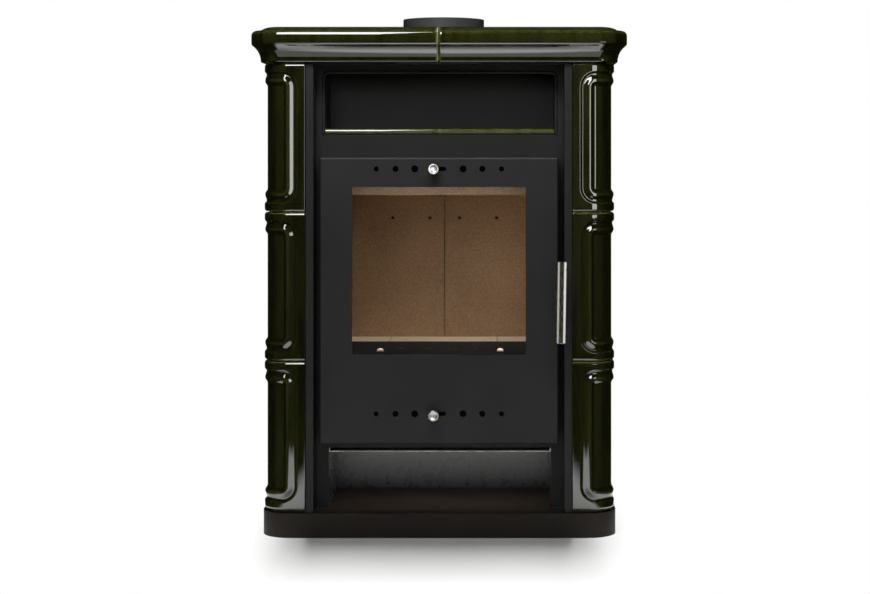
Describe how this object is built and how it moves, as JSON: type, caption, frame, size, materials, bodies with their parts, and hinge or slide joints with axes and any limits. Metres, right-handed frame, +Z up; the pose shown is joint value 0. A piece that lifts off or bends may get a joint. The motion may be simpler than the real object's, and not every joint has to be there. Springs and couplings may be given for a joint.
{
  "type": "tiled wood stove",
  "caption": "Free-standing wood stove clad in dark green glazed relief tiles, with a glazed fire door, warming niche, wood bay and top flue collar.",
  "frame": {"origin": "on the floor, under the middle of the plinth's underside", "axes": "+Z up, -Y out of the fire door, +X to the right seen from the front"},
  "size_m": [0.648, 0.47, 0.906],
  "materials": {
    "matt_black_steel": "matt heat-proof paint",
    "bay_enamel": "smooth black enamel",
    "slide_steel": "blackened sheet",
    "plinth_steel": "matt brown-black paint",
    "collar_steel": "satin grey-black paint",
    "fastener_steel": "zinc plated",
    "galvanised_sheet": "bare aluminised sheet",
    "stainless_steel": "brushed",
    "green_glaze": "glossy bottle green glaze",
    "fire_board": "porous fire board",
    "grate_iron": "raw casting",
    "fire_glass": "clear glass ceramic",
    "glass_rope": "knitted glass rope"
  },
  "bodies": {
    "stove": {"back_lining_left": "fire_board", "back_lining_right": "fire_board", "baffle": "fire_board", "base_plinth": "plinth_steel", "ceramic_top_left": "green_glaze", "ceramic_top_right": "green_glaze", "fire_grate": "grate_iron", "firebox_shell": "matt_black_steel", "floor_brick_centre": "fire_board", "floor_brick_left": "fire_board", "floor_brick_right": "fire_board", "flue_collar": "collar_steel", "flue_collar_screws": "fastener_steel", "front_panel": "matt_black_steel", "heat_shield": "galvanised_sheet", "hinge_brackets": "matt_black_steel", "left_side_frame": "matt_black_steel", "log_fence": "matt_black_steel", "lower_left_corner_tile": "green_glaze", "lower_left_side_tile": "green_glaze", "lower_right_corner_tile": "green_glaze", "lower_right_side_tile": "green_glaze", "middle_left_corner_tile": "green_glaze", "middle_left_side_tile": "green_glaze", "middle_right_corner_tile": "green_glaze", "middle_right_side_tile": "green_glaze", "niche_liner": "matt_black_steel", "niche_shelf_tile_left": "green_glaze", "niche_shelf_tile_right": "green_glaze", "rear_panel": "matt_black_steel", "rear_panel_screws": "fastener_steel", "right_side_frame": "matt_black_steel", "side_lining_left": "fire_board", "side_lining_right": "fire_board", "tile_rails": "matt_black_steel", "top_plate": "matt_black_steel", "upper_left_corner_tile": "green_glaze", "upper_left_side_tile": "green_glaze", "upper_right_corner_tile": "green_glaze", "upper_right_side_tile": "green_glaze", "wood_bay_liner": "bay_enamel"},
    "door": {"door_panel": "matt_black_steel", "door_back_plate": "matt_black_steel", "door_rope_seal": "glass_rope", "door_glass": "fire_glass", "glass_seal_tape": "glass_rope", "glass_clips": "matt_black_steel", "glass_clip_screws": "fastener_steel", "hinge_pins": "fastener_steel", "latch_pivot": "fastener_steel"},
    "latch": {"latch_lever": "matt_black_steel", "handle_tube": "stainless_steel", "handle_caps": "stainless_steel"},
    "upper_air": {"upper_air_slide": "slide_steel", "upper_air_knob": "stainless_steel"},
    "lower_air": {"lower_air_slide": "slide_steel", "lower_air_knob": "stainless_steel"},
    "ash_drawer": {"ash_pan": "matt_black_steel"}
  },
  "joints": [
    {"name": "door_hinge", "type": "hinge", "parent": "stove", "child": "door", "pos_m": [-0.197, -0.192, 0.405], "axis": [0, 0, -1], "range_deg": [0, 105]},
    {"name": "latch_handle", "type": "hinge", "parent": "door", "child": "latch", "pos_m": [0.2095, -0.183, 0.4055], "axis": [1, 0, 0], "range_deg": [-18, 10]},
    {"name": "upper_air_slide", "type": "slide", "parent": "door", "child": "upper_air", "axis": [1, 0, 0], "range_m": [0, 0.017]},
    {"name": "lower_air_slide", "type": "slide", "parent": "door", "child": "lower_air", "axis": [1, 0, 0], "range_m": [0, 0.017]},
    {"name": "ash_pan_slide", "type": "slide", "parent": "stove", "child": "ash_drawer", "axis": [0, -1, 0], "range_m": [0, 0.156]}
  ],
  "couplings": [
    {"joint": "ash_pan_slide", "follows": "door_hinge", "m_per_rad": 0.085}
  ]
}
